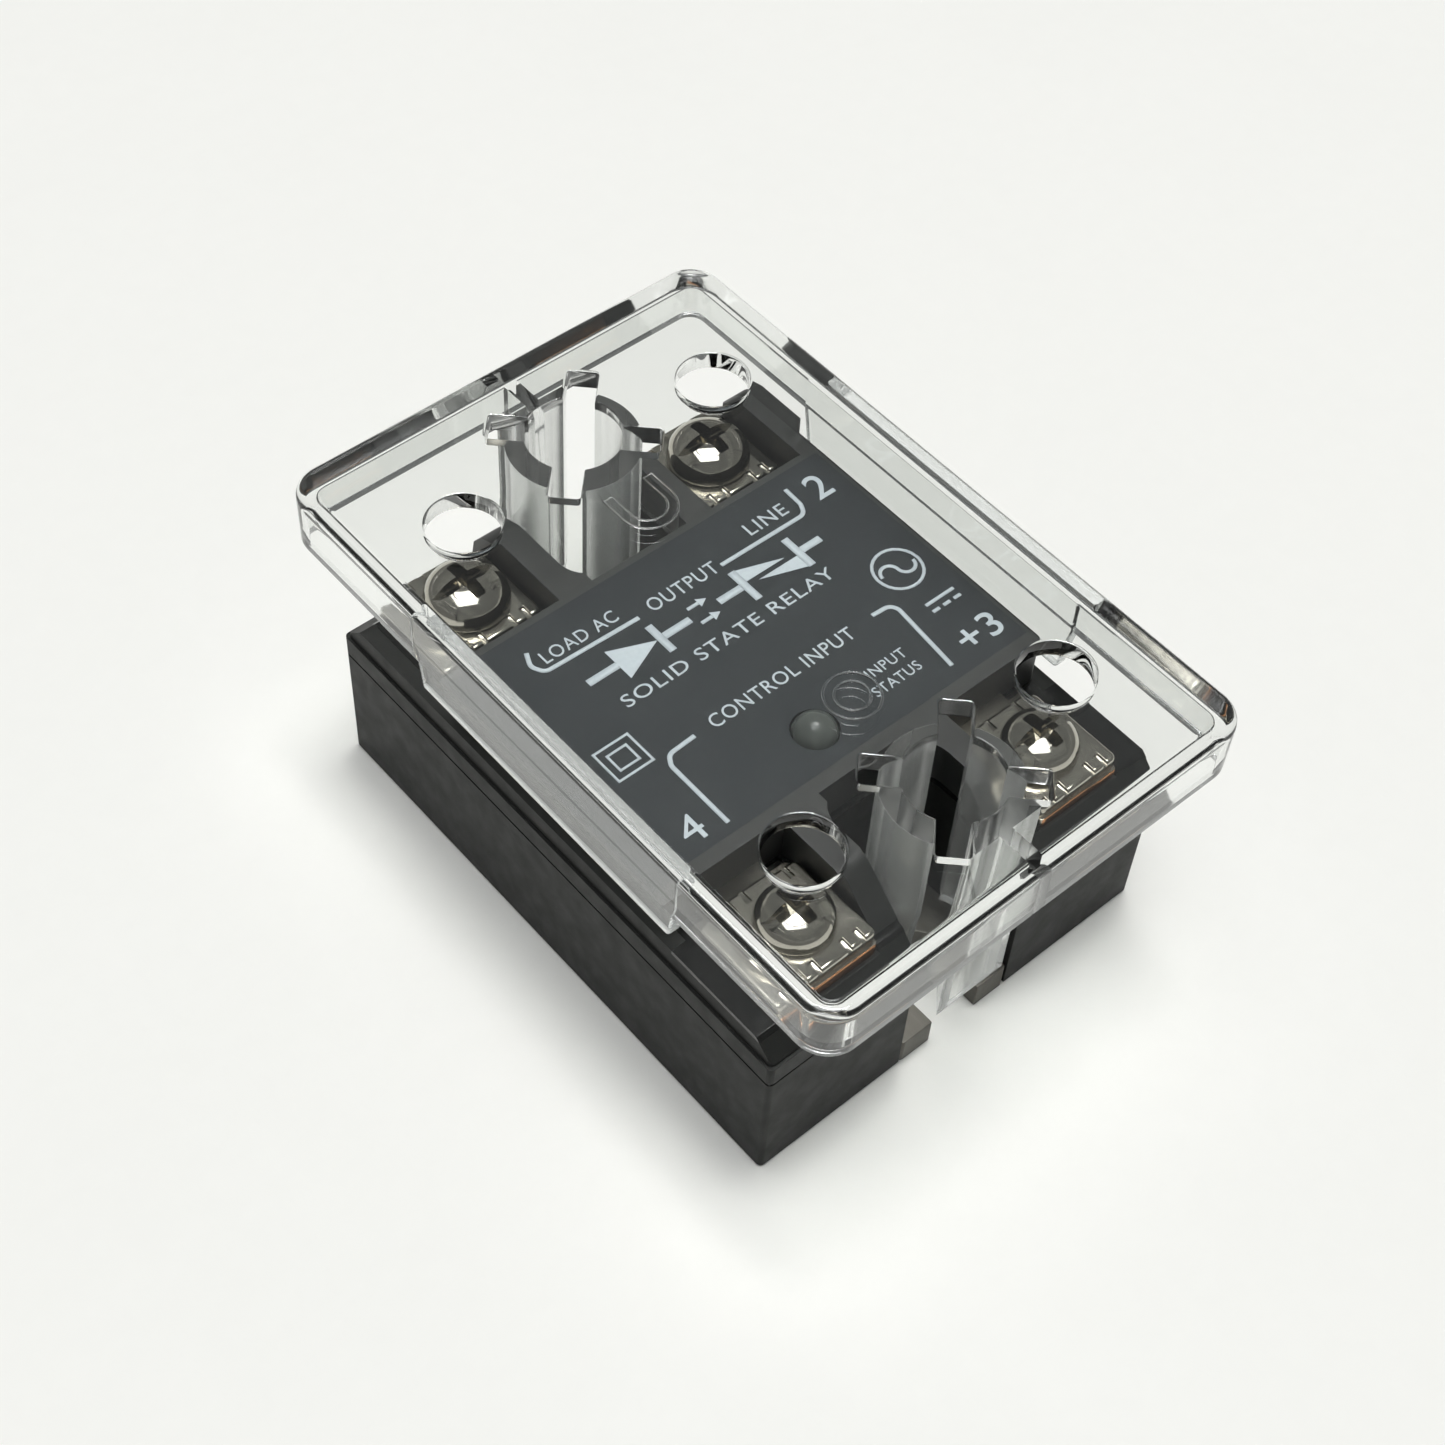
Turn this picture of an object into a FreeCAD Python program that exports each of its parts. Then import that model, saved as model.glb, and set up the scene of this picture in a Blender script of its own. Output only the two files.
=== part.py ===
import FreeCAD, Part
import math
import os

# Panel-mount solid state relay with a clear clip-on cover, in millimetres.
# The origin is the centre of the heat-sink face. +Y points to the output end, +X to the
# side of terminals 2 and 3, and +Z away from the heat sink.

# Driving dimensions of the relay
HOUSING_LENGTH = 57.15
HOUSING_WIDTH = 44.45
FOOT_GAP = 0.2           # the heat-sink face stands this far below the moulded housing
DECK_HEIGHT = 18.0       # moulded deck round the terminals
LABEL_HEIGHT = 22.7      # printed top face of the raised middle platform
SHOULDER_HEIGHT = 15.8   # above this the housing is stepped in
SHOULDER_STEP = 0.3
PARTING_HEIGHT = 13.4    # fine mould line round the sides
WALL = 1.6
MOUNT_SPACING = 47.6     # between the mounting hole and the mounting slot
MOUNT_HOLE_RADIUS = 2.4
MOUNT_SLOT_RADIUS = 2.7
NOTCH_HALF_WIDTH = 6.35
NOTCH_END = 14.9         # distance from the middle to the inner end of each notch
NOTCH_CORNER = 3.0
PLATE_THICKNESS = 3.0

# Terminals and their screws
TERMINAL_X = 13.8
TERMINAL_Y = 21.4
TERMINAL_BOTTOM = 17.4
TERMINAL_THICKNESS = 1.3
TERMINAL_HALF_WIDTH = 4.5
TERMINAL_OUTER_EDGE = 26.6
TERMINAL_EDGE_GAP = 0.5   # the moulded pocket leaves the cropped outer edge in view
LEG_HALF_WIDTH = 2.5
LEG_OUTER_Y = 11.8
LEG_PIN_HALF_WIDTH = 0.7
CLAMP_THICKNESS = 1.4
CLAMP_WIDTH = 9.0
CLAMP_LENGTH = 9.8
THREAD_CLEARANCE = 0.04
OUTPUT_THREAD_RADIUS = 2.08
OUTPUT_HEAD_RADIUS = 3.85
INPUT_THREAD_RADIUS = 1.75
INPUT_HEAD_RADIUS = 3.4
SCREW_LENGTH = 7.6

# Clip-on cover
COVER_LENGTH = 69.2
COVER_WIDTH = 46.2
COVER_TOP = 31.0
COVER_PLATE = 2.0
COVER_RIM = 1.7
RIM_BOTTOM = 25.0
COVER_CORNER = 3.2
SKIRT_BOTTOM = 20.7
SKIRT_HALF_LENGTH = 16.1
SKIRT_INNER_X = 21.1
SKIRT_OUTER_X = 22.5
DRIVER_HOLE_RADIUS = 3.3
TUBE_INNER_RADIUS = 4.35
TUBE_OUTER_RADIUS = 6.05
TUBE_BOTTOM = 6.6
TUBE_SLOT_WIDTH = 2.8
TUBE_SLOT_REACH = 7.6

# Inside
SUBSTRATE_THICKNESS = 0.64
PAD_THICKNESS = 0.3
CHIP_THICKNESS = 0.4
BOARD_BOTTOM = 9.6
BOARD_THICKNESS = 1.6
LED_X = -1.2
LED_Y = -9.6
LED_RADIUS = 2.05
LED_LEAD_OFFSET = 1.27
LED_FLANGE_HEIGHT = 1.0
LED_FLANGE_BELOW_LABEL = 6.1
PIN_RADIUS = 0.35
PIN_PLACES = [(-1.9, -5.6), (1.9, -5.6), (-15.6, -2.0), (15.6, -2.0)]
RESIN_ABOVE_BOARD = 1.4

# Bosses under the terminals that take the screw tips
BOSS_RADIUS = 3.7
BOSS_BOTTOM = 10.4
BOSS_BORE_BOTTOM = 11.6
BOSS_BORE_CLEARANCE = 0.5

# Worked out from the driving dimensions
HALF_L = HOUSING_LENGTH / 2
HALF_W = HOUSING_WIDTH / 2
MOUNT_Y = MOUNT_SPACING / 2
TERMINAL_TOP = TERMINAL_BOTTOM + TERMINAL_THICKNESS
CLAMP_TOP = TERMINAL_TOP + CLAMP_THICKNESS
PLATFORM_HALF_X = 20.6
PLATFORM_HALF_Y = 14.6
CAVITY_X = HALF_W - WALL
CAVITY_Y = HALF_L - WALL
DECK_CEILING = DECK_HEIGHT - 2.4
LABEL_CEILING = LABEL_HEIGHT - 1.8
PLATE_GAP = 0.1
PAD_TOP = PLATE_THICKNESS + SUBSTRATE_THICKNESS + PAD_THICKNESS
CHIP_TOP = PAD_TOP + CHIP_THICKNESS
LEG_INNER_Y = LEG_OUTER_Y - TERMINAL_THICKNESS
LED_SPRING_LINE = LABEL_HEIGHT - 0.6
LED_FLANGE_BOTTOM = LABEL_HEIGHT - LED_FLANGE_BELOW_LABEL
BOARD_TOP = BOARD_BOTTOM + BOARD_THICKNESS
Z_AXIS = FreeCAD.Vector(0, 0, 1)

# Terminals by number: which side (X), which end (Y), and the thread and head of the screw
TERMINALS = {
    1: (-1, 1, OUTPUT_THREAD_RADIUS, OUTPUT_HEAD_RADIUS),
    2: (1, 1, OUTPUT_THREAD_RADIUS, OUTPUT_HEAD_RADIUS),
    3: (1, -1, INPUT_THREAD_RADIUS, INPUT_HEAD_RADIUS),
    4: (-1, -1, INPUT_THREAD_RADIUS, INPUT_HEAD_RADIUS),
}


def box(x0, x1, y0, y1, z0, z1):
    """A box between two corners, whichever way round they are given."""
    low = FreeCAD.Vector(min(x0, x1), min(y0, y1), min(z0, z1))
    return Part.makeBox(abs(x1 - x0), abs(y1 - y0), abs(z1 - z0), low)


def rod(radius, z0, z1, x=0.0, y=0.0):
    """An upright cylinder."""
    return Part.makeCylinder(radius, z1 - z0, FreeCAD.Vector(x, y, z0))


def prism_x(outline, x0, x1):
    """An outline of (y, z) points, extruded from x0 to x1."""
    points = [FreeCAD.Vector(x0, y, z) for y, z in outline]
    face = Part.Face(Part.makePolygon(points + points[:1]))
    return face.extrude(FreeCAD.Vector(x1 - x0, 0, 0))


def prism_z(outline, z0, z1):
    """An outline of (x, y) points, extruded from z0 to z1."""
    points = [FreeCAD.Vector(x, y, z0) for x, y in outline]
    face = Part.Face(Part.makePolygon(points + points[:1]))
    return face.extrude(FreeCAD.Vector(0, 0, z1 - z0))


def upright_edges(shape, radius, test=lambda x, y: True):
    """Round the upright straight edges whose place passes the test."""
    edges = []
    for edge in shape.Edges:
        a = edge.Vertexes[0].Point
        b = edge.Vertexes[-1].Point
        if abs(a.x - b.x) < 1e-6 and abs(a.y - b.y) < 1e-6 and test(a.x, a.y):
            edges.append(edge)
    return shape.makeFillet(radius, edges)


def top_edges(shape, height, radius, test=lambda p: True):
    """Round the edges that lie at one height and pass the test."""
    edges = []
    for edge in shape.Edges:
        ends = [v.Point for v in edge.Vertexes]
        if all(abs(p.z - height) < 1e-6 and test(p) for p in ends):
            edges.append(edge)
    return shape.makeFillet(radius, edges)


def fuse(shapes):
    """Join touching shapes into one clean solid."""
    whole = shapes[0]
    for shape in shapes[1:]:
        whole = whole.fuse(shape)
    return whole.removeSplitter()


def cut(shape, tools):
    """Take each tool away from a shape."""
    for tool in tools:
        shape = shape.cut(tool)
    return shape.removeSplitter()


def notch(end, half_width, z0, z1):
    """The round-cornered space of a mounting notch at one end."""
    shape = box(-half_width, half_width, end * NOTCH_END, end * (HALF_L + 10), z0, z1)
    inner = lambda x, y: abs(y) < NOTCH_END + 0.1
    return upright_edges(shape, NOTCH_CORNER, inner)


def terminal_place(number):
    """Middle of a terminal screw."""
    side, end, thread, head = TERMINALS[number]
    return side * TERMINAL_X, end * TERMINAL_Y


# Base plate: flat metal plate, recessed in the housing, flush with it only in the notches
def base_plate():
    inset = PLATE_GAP
    plate = box(-CAVITY_X + inset, CAVITY_X - inset, -CAVITY_Y + inset, CAVITY_Y - inset,
                0, PLATE_THICKNESS)
    tab = NOTCH_HALF_WIDTH - inset
    tabs = box(-tab, tab, -HALF_L, HALF_L, 0, PLATE_THICKNESS)
    tabs = upright_edges(tabs, 0.4)
    hole = rod(MOUNT_HOLE_RADIUS, -1, PLATE_THICKNESS + 1, 0, MOUNT_Y)
    slot_end = rod(MOUNT_SLOT_RADIUS, -1, PLATE_THICKNESS + 1, 0, -MOUNT_Y)
    slot = box(-MOUNT_SLOT_RADIUS, MOUNT_SLOT_RADIUS, -MOUNT_Y, -HALF_L - 1, -1, PLATE_THICKNESS + 1)
    return cut(fuse([plate, tabs]), [hole, slot_end, slot])


# Housing: one black moulding, open below
def housing_outside():
    lower = box(-HALF_W, HALF_W, -HALF_L, HALF_L, FOOT_GAP, SHOULDER_HEIGHT)
    lower = upright_edges(lower, 0.5)
    upper_x = HALF_W - SHOULDER_STEP
    upper_y = HALF_L - SHOULDER_STEP
    upper = box(-upper_x, upper_x, -upper_y, upper_y, FOOT_GAP, DECK_HEIGHT)
    upper = upright_edges(upper, 0.5)
    bevel_rise = 1.9
    bevel_run = 2.0
    for end in (-1, 1):
        outline = [(end * (upper_y - bevel_run), DECK_HEIGHT), (end * (upper_y + 1), DECK_HEIGHT),
                   (end * (upper_y + 1), DECK_HEIGHT - bevel_rise),
                   (end * upper_y, DECK_HEIGHT - bevel_rise)]
        upper = upper.cut(prism_x(outline, -HALF_W, HALF_W))
    platform = box(-PLATFORM_HALF_X, PLATFORM_HALF_X, -PLATFORM_HALF_Y, PLATFORM_HALF_Y,
                   DECK_HEIGHT - 1, LABEL_HEIGHT)
    platform = upright_edges(platform, 0.6)
    return [lower, upper, platform]


def barrier(side, end, thickness):
    """The raised wall between a terminal and its mounting notch."""
    start = PLATFORM_HALF_Y - 1.5
    low = DECK_HEIGHT - 1
    if end > 0:
        outline = [(start, low), (start, LABEL_HEIGHT), (23.6, LABEL_HEIGHT),
                   (25.6, LABEL_HEIGHT - 0.7), (26.9, LABEL_HEIGHT - 2.3), (27.5, low)]
    else:
        outline = [(-start, low), (-start, LABEL_HEIGHT), (-20.6, LABEL_HEIGHT),
                   (-21.9, LABEL_HEIGHT - 0.7), (-26.1, DECK_HEIGHT - 0.1), (-27.2, low)]
    inner = side * (NOTCH_HALF_WIDTH - 1)
    outer = side * (NOTCH_HALF_WIDTH + thickness)
    return prism_x(outline, inner, outer)


def guard_wall():
    """The tall wall outside terminal 2."""
    outer = HALF_W - SHOULDER_STEP
    inner = TERMINAL_X + TERMINAL_HALF_WIDTH + 0.5
    plan = [(inner, PLATFORM_HALF_Y - 1), (PLATFORM_HALF_X - 0.7, PLATFORM_HALF_Y - 1),
            (PLATFORM_HALF_X, PLATFORM_HALF_Y - 0.3), (PLATFORM_HALF_X, 16.7), (outer, 18.0),
            (outer, 25.3), (outer - 0.9, 26.2), (inner + 1.0, 26.2), (inner, 25.2)]
    wall = prism_z(plan, DECK_HEIGHT - 1, LABEL_HEIGHT)
    profile = [(13.0, DECK_HEIGHT - 1), (13.0, LABEL_HEIGHT), (23.4, LABEL_HEIGHT),
               (24.6, LABEL_HEIGHT - 0.35), (25.5, LABEL_HEIGHT - 1.1), (26.1, LABEL_HEIGHT - 2.3),
               (26.2, DECK_HEIGHT - 1)]
    return wall.common(prism_x(profile, inner - 1, outer + 1))


def housing():
    walls = [barrier(-1, 1, 2.6), barrier(1, 1, 1.9), barrier(-1, -1, 2.6), barrier(1, -1, 2.6)]
    shape = fuse(housing_outside() + walls + [guard_wall()])

    line = box(-HALF_W - 1, HALF_W + 1, -HALF_L - 1, HALF_L + 1, PARTING_HEIGHT, PARTING_HEIGHT + 0.25)
    line = line.cut(box(-HALF_W + 0.15, HALF_W - 0.15, -HALF_L + 0.15, HALF_L - 0.15,
                        PARTING_HEIGHT - 1, PARTING_HEIGHT + 1))

    cavity = box(-CAVITY_X, CAVITY_X, -CAVITY_Y, CAVITY_Y, 0, DECK_CEILING)
    for end in (-1, 1):
        wall_space = NOTCH_HALF_WIDTH + WALL
        cavity = cavity.cut(box(-wall_space, wall_space, end * (NOTCH_END - WALL), end * HALF_L,
                                PLATE_THICKNESS, DECK_HEIGHT))
    for number in TERMINALS:
        x, y = terminal_place(number)
        cavity = cavity.cut(rod(BOSS_RADIUS, BOSS_BOTTOM, DECK_HEIGHT, x, y))
    head_room = box(-PLATFORM_HALF_X + WALL, PLATFORM_HALF_X - WALL, -PLATFORM_HALF_Y + WALL,
                    PLATFORM_HALF_Y - WALL, DECK_CEILING - 1, LABEL_CEILING)
    lamp_hole = rod(LED_RADIUS + 0.1, LABEL_CEILING - 1, LABEL_HEIGHT + 1, LED_X, LED_Y)
    tools = [line, cavity, head_room, lamp_hole]
    for end in (-1, 1):
        tools.append(notch(end, NOTCH_HALF_WIDTH, -1, LABEL_HEIGHT + 5))
    for number, (side, end, thread, head) in TERMINALS.items():
        x, y = terminal_place(number)
        half = TERMINAL_HALF_WIDTH + 0.1
        pocket_end = end * (TERMINAL_OUTER_EDGE + TERMINAL_EDGE_GAP)
        tools.append(box(x - half, x + half, end * PLATFORM_HALF_Y, pocket_end,
                         TERMINAL_BOTTOM, DECK_HEIGHT + 1))
        neck = LEG_HALF_WIDTH + 0.05
        tools.append(box(x - neck, x + neck, end * (PLATFORM_HALF_Y - WALL - 1), end * (PLATFORM_HALF_Y + 1),
                         TERMINAL_BOTTOM, TERMINAL_TOP))
        tools.append(rod(thread + BOSS_BORE_CLEARANCE, BOSS_BORE_BOTTOM, TERMINAL_BOTTOM + 0.5, x, y))
    return cut(shape, tools)


# Terminals: nickel-plated copper, with a narrow leg that goes down inside
def terminal(number):
    side, end, thread, head = TERMINALS[number]
    x, y = terminal_place(number)
    plate = box(x - TERMINAL_HALF_WIDTH, x + TERMINAL_HALF_WIDTH, end * (PLATFORM_HALF_Y + 0.9),
                end * TERMINAL_OUTER_EDGE, TERMINAL_BOTTOM, TERMINAL_TOP)
    plate = upright_edges(plate, 0.5)
    neck = box(x - LEG_HALF_WIDTH, x + LEG_HALF_WIDTH, end * LEG_INNER_Y,
               end * (PLATFORM_HALF_Y + 1.4), TERMINAL_BOTTOM, TERMINAL_TOP)
    if end > 0:
        leg = box(x - LEG_HALF_WIDTH, x + LEG_HALF_WIDTH, LEG_INNER_Y, LEG_OUTER_Y, PAD_TOP, TERMINAL_TOP)
        foot = box(x - LEG_HALF_WIDTH, x + LEG_HALF_WIDTH, LEG_INNER_Y - 1.9, LEG_OUTER_Y, PAD_TOP,
                   PAD_TOP + TERMINAL_THICKNESS)
        pieces = [plate, neck, leg, foot]
    else:
        leg = box(x - LEG_HALF_WIDTH, x + LEG_HALF_WIDTH, -LEG_INNER_Y, -LEG_OUTER_Y,
                  BOARD_TOP, TERMINAL_TOP)
        pin = box(x - LEG_PIN_HALF_WIDTH, x + LEG_PIN_HALF_WIDTH, -LEG_INNER_Y, -LEG_OUTER_Y,
                  BOARD_BOTTOM - 0.8, BOARD_TOP)
        pieces = [plate, neck, leg, pin]
    hole = rod(thread + THREAD_CLEARANCE, TERMINAL_BOTTOM - 1, TERMINAL_TOP + 1, x, y)
    return cut(fuse(pieces), [hole])


# Clamps: square pressed plates under the screw heads, ribbed to grip the wire
def clamp(number):
    side, end, thread, head = TERMINALS[number]
    x, y = terminal_place(number)
    shape = box(x - CLAMP_WIDTH / 2, x + CLAMP_WIDTH / 2, y - CLAMP_LENGTH / 2, y + CLAMP_LENGTH / 2,
                TERMINAL_TOP, CLAMP_TOP)
    shape = upright_edges(shape, 0.6)
    shape = top_edges(shape, CLAMP_TOP, 0.35)
    groove_width = 0.55
    tools = [rod(thread + THREAD_CLEARANCE, TERMINAL_TOP - 1, CLAMP_TOP + 1, x, y)]
    for offset in (-3.1, -1.6, 1.6, 3.1):
        centre = x + offset
        for way in (-1, 1):
            tools.append(box(centre - groove_width / 2, centre + groove_width / 2, y + way * 3.6,
                             y + way * (CLAMP_LENGTH / 2 + 1), CLAMP_TOP - 0.35, CLAMP_TOP + 1))
    for offset in (-3.3, 3.3):
        centre = y + offset
        tools.append(box(x - CLAMP_WIDTH, x + CLAMP_WIDTH, centre - 0.45, centre + 0.45,
                         TERMINAL_TOP - 1, TERMINAL_TOP + 0.3))
    return cut(shape, tools)


# Screws: pan heads with a slot and a cross, plain shanks for the threads
def screw(number):
    side, end, thread, head = TERMINALS[number]
    x, y = terminal_place(number)
    head_height = head * 0.74
    rim = head * 0.3
    crown = head * 0.45
    base = FreeCAD.Vector(0, 0, CLAMP_TOP)
    corner = FreeCAD.Vector(head, 0, CLAMP_TOP + rim)
    mid_angle = math.radians(40)
    mid = FreeCAD.Vector(crown + (head - crown) * math.cos(mid_angle), 0,
                         CLAMP_TOP + rim + (head_height - rim) * math.sin(mid_angle))
    top = FreeCAD.Vector(crown, 0, CLAMP_TOP + head_height)
    axis_top = FreeCAD.Vector(0, 0, CLAMP_TOP + head_height)
    edges = [Part.makeLine(base, FreeCAD.Vector(head, 0, CLAMP_TOP)),
             Part.makeLine(FreeCAD.Vector(head, 0, CLAMP_TOP), corner),
             Part.Arc(corner, mid, top).toShape(),
             Part.makeLine(top, axis_top),
             Part.makeLine(axis_top, base)]
    shape = Part.Face(Part.Wire(edges)).revolve(FreeCAD.Vector(0, 0, 0), Z_AXIS, 360)
    tip = Part.makeCone(thread * 0.75, thread, 0.6, FreeCAD.Vector(0, 0, CLAMP_TOP - SCREW_LENGTH))
    shank = rod(thread, CLAMP_TOP - SCREW_LENGTH + 0.6, CLAMP_TOP + 0.1)
    shape = fuse([shape, shank, tip])
    head_top = CLAMP_TOP + head_height
    slot_floor = head_top - head_height * 0.42
    cross_floor = slot_floor - 0.6
    half_slot = 0.55
    reach = head * 0.56
    slot = box(-head - 1, head + 1, -half_slot, half_slot, slot_floor, head_top + 1)
    cross = box(-half_slot, half_slot, -reach, reach, cross_floor, head_top + 1)
    cross_long = box(-reach, reach, -half_slot, half_slot, cross_floor, head_top + 1)
    shape = cut(shape, [slot, cross, cross_long])
    shape.translate(FreeCAD.Vector(x, y, 0))
    return shape


# Cover: one clear moulding
def cover_tube(end):
    """Tube over a mounting notch, with four slots and a flat outer finger."""
    y = end * MOUNT_Y
    bottom = TUBE_BOTTOM
    top = COVER_TOP - COVER_PLATE + 0.2
    ring = rod(TUBE_OUTER_RADIUS, bottom, top, 0, y)
    flat_in = TUBE_INNER_RADIUS
    flat_out = TUBE_INNER_RADIUS + 1.5
    ring = ring.cut(box(-20, 20, y + end * flat_in, y + end * 20, 0, 40))
    finger = box(-4.4, 4.4, y + end * flat_in, y + end * flat_out, bottom, top)
    web = [(y + end * flat_out, top), (end * (COVER_LENGTH / 2 - 0.5), top),
           (end * (COVER_LENGTH / 2 - 0.5), RIM_BOTTOM + 0.3), (y + end * flat_out, 16.0)]
    web = prism_x(web, -0.7, 0.7)
    return [ring, finger, web]


def tube_opening(end):
    """The round opening and the four diagonal slots."""
    y = end * MOUNT_Y
    opening = rod(TUBE_INNER_RADIUS, 0, 40, 0, y)
    slots = []
    for angle in (45, -45):
        slot = box(-TUBE_SLOT_REACH, TUBE_SLOT_REACH, -TUBE_SLOT_WIDTH / 2, TUBE_SLOT_WIDTH / 2, 0, 40)
        slot.rotate(FreeCAD.Vector(0, 0, 0), Z_AXIS, angle)
        slot.translate(FreeCAD.Vector(0, y, 0))
        slots.append(slot)
    return [opening] + slots


def cover():
    half_x = COVER_WIDTH / 2
    half_y = COVER_LENGTH / 2
    outer = box(-half_x, half_x, -half_y, half_y, RIM_BOTTOM, COVER_TOP)
    outer = upright_edges(outer, COVER_CORNER)
    outer = top_edges(outer, COVER_TOP, 0.7)
    inner = box(-half_x + COVER_RIM, half_x - COVER_RIM, -half_y + COVER_RIM, half_y - COVER_RIM,
                RIM_BOTTOM - 1, COVER_TOP - COVER_PLATE)
    inner = upright_edges(inner, COVER_CORNER - COVER_RIM)
    shell = outer.cut(inner)
    skirts = []
    slant = 0.9
    for side in (-1, 1):
        outline = [(-SKIRT_HALF_LENGTH, SKIRT_BOTTOM), (SKIRT_HALF_LENGTH, SKIRT_BOTTOM),
                   (SKIRT_HALF_LENGTH + slant, RIM_BOTTOM + 0.5),
                   (SKIRT_HALF_LENGTH + slant, COVER_TOP - 1),
                   (-SKIRT_HALF_LENGTH - slant, COVER_TOP - 1),
                   (-SKIRT_HALF_LENGTH - slant, RIM_BOTTOM + 0.5)]
        skirts.append(prism_x(outline, side * SKIRT_INNER_X, side * SKIRT_OUTER_X))
    pieces = [shell] + skirts
    tools = []
    for end in (-1, 1):
        pieces += cover_tube(end)
        tools += tube_opening(end)
    for side in (-1, 1):
        for end in (-1, 1):
            tools.append(rod(DRIVER_HOLE_RADIUS, 0, 40, side * TERMINAL_X, end * TERMINAL_Y))
    return cut(fuse(pieces), tools)


# Power section on the base plate
def ceramic_substrate():
    return box(-17.5, 17.5, -8.0, 12.4, PLATE_THICKNESS, PLATE_THICKNESS + SUBSTRATE_THICKNESS)


def substrate_pads():
    low = PLATE_THICKNESS + SUBSTRATE_THICKNESS
    main = [box(side * 0.7, side * 17.0, -7.4, 12.0, low, PAD_TOP) for side in (-1, 1)]
    gates = [box(side * 0.7, side * 3.1, -7.4, -3.9, low, PAD_TOP) for side in (-1, 1)]
    gap = [box(side * 0.7, side * 3.6, -8.0, -3.4, low, PAD_TOP) for side in (-1, 1)]
    return Part.makeCompound([main[0].cut(gap[0]), main[1].cut(gap[1])] + gates)


def thyristor_chip(side):
    return box(side * 5.5, side * 13.9, -4.2, 4.2, PAD_TOP, CHIP_TOP)


def chip_strap(side):
    """Copper strap from the top of one chip across to the other chip's pad."""
    y0, y1 = (5.2, 7.8) if side < 0 else (8.7, 11.2)
    crown = CHIP_TOP + 1.5
    along = box(side * 8.2, side * 11.0, 0, y1, CHIP_TOP, CHIP_TOP + 0.5)
    rise = box(side * 8.2, side * 8.7, y0, y1, CHIP_TOP, crown)
    bridge = box(side * 8.7, -side * 7.7, y0, y1, crown - 0.5, crown)
    fall = box(-side * 7.2, -side * 7.7, y0, y1, PAD_TOP, crown)
    return fuse([along, rise, bridge, fall])


def gate_pins():
    """Four fine pins from the gate and cathode pads up to the control board."""
    return Part.makeCompound([rod(PIN_RADIUS, PAD_TOP, BOARD_TOP + 0.6, x, y) for x, y in PIN_PLACES])


# Control section
def control_board():
    board = box(-19.6, 19.6, -12.6, 9.2, BOARD_BOTTOM, BOARD_TOP)
    board = upright_edges(board, 0.8)
    tools = [rod(PIN_RADIUS, 0, DECK_HEIGHT, x, y) for x, y in PIN_PLACES]
    for side in (-1, 1):
        x = side * TERMINAL_X
        tools.append(box(x - LEG_PIN_HALF_WIDTH, x + LEG_PIN_HALF_WIDTH, -LEG_INNER_Y, -LEG_OUTER_Y,
                         0, DECK_HEIGHT))
        lead_x = LED_X + side * LED_LEAD_OFFSET
        tools.append(box(lead_x - 0.3, lead_x + 0.3, LED_Y - 0.3, LED_Y + 0.3, 0, DECK_HEIGHT))
    return cut(board, tools)


def optocoupler():
    body = box(-4.4, 4.4, 0.6, 7.0, BOARD_TOP + 0.5, BOARD_TOP + 4.0)
    leg_shapes = []
    for x in (-2.54, 0.0, 2.54):
        for y0, y1 in ((-0.1, 0.6), (7.0, 7.7)):
            leg_shapes.append(box(x - 0.6, x + 0.6, y0, y1, BOARD_TOP, BOARD_TOP + 2.0))
    return fuse([body] + leg_shapes)


def film_capacitor():
    body = box(6.2, 18.6, 2.4, 8.0, BOARD_TOP, BOARD_TOP + 7.6)
    return upright_edges(body, 0.5)


def axial_resistor(x, y, radius, length):
    """A resistor lying along X on two short bent leads."""
    height = BOARD_TOP + radius + 0.2
    turn = FreeCAD.Vector(1, 0, 0)
    body = Part.makeCylinder(radius, length, FreeCAD.Vector(x - length / 2, y, height), turn)
    wire = Part.makeCylinder(0.3, length + 2.4, FreeCAD.Vector(x - length / 2 - 1.2, y, height), turn)
    feet = [rod(0.3, BOARD_TOP, height + 0.3, x + way * (length / 2 + 0.9), y) for way in (-1, 1)]
    return fuse([body, wire] + feet)


def input_transistor():
    body = rod(2.3, BOARD_TOP + 1.0, BOARD_TOP + 5.6, -7.5, -8.6)
    body = body.cut(box(-12, 0, -11.5, -9.9, 0, 30))
    legs = [box(-7.5 + dx - 0.25, -7.5 + dx + 0.25, -8.85, -8.35, BOARD_TOP, BOARD_TOP + 1.0)
            for dx in (-1.27, 0.0, 1.27)]
    return fuse([body] + legs)


def status_led():
    """Clear lamp body whose dome stands just above the label."""
    body = rod(LED_RADIUS, LED_FLANGE_BOTTOM, LED_SPRING_LINE, LED_X, LED_Y)
    dome = Part.makeSphere(LED_RADIUS, FreeCAD.Vector(LED_X, LED_Y, LED_SPRING_LINE))
    flange = rod(LED_RADIUS + 0.6, LED_FLANGE_BOTTOM, LED_FLANGE_BOTTOM + LED_FLANGE_HEIGHT, LED_X, LED_Y)
    upper_half = box(LED_X - 5, LED_X + 5, LED_Y - 5, LED_Y + 5, LED_SPRING_LINE, LABEL_HEIGHT + 5)
    return fuse([body, dome.common(upper_half), flange])


def led_leads():
    leads = []
    for way in (-1, 1):
        x = LED_X + way * LED_LEAD_OFFSET
        leads.append(box(x - 0.25, x + 0.25, LED_Y - 0.25, LED_Y + 0.25,
                         BOARD_BOTTOM - 0.8, LED_FLANGE_BOTTOM))
    return Part.makeCompound(leads)


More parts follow.
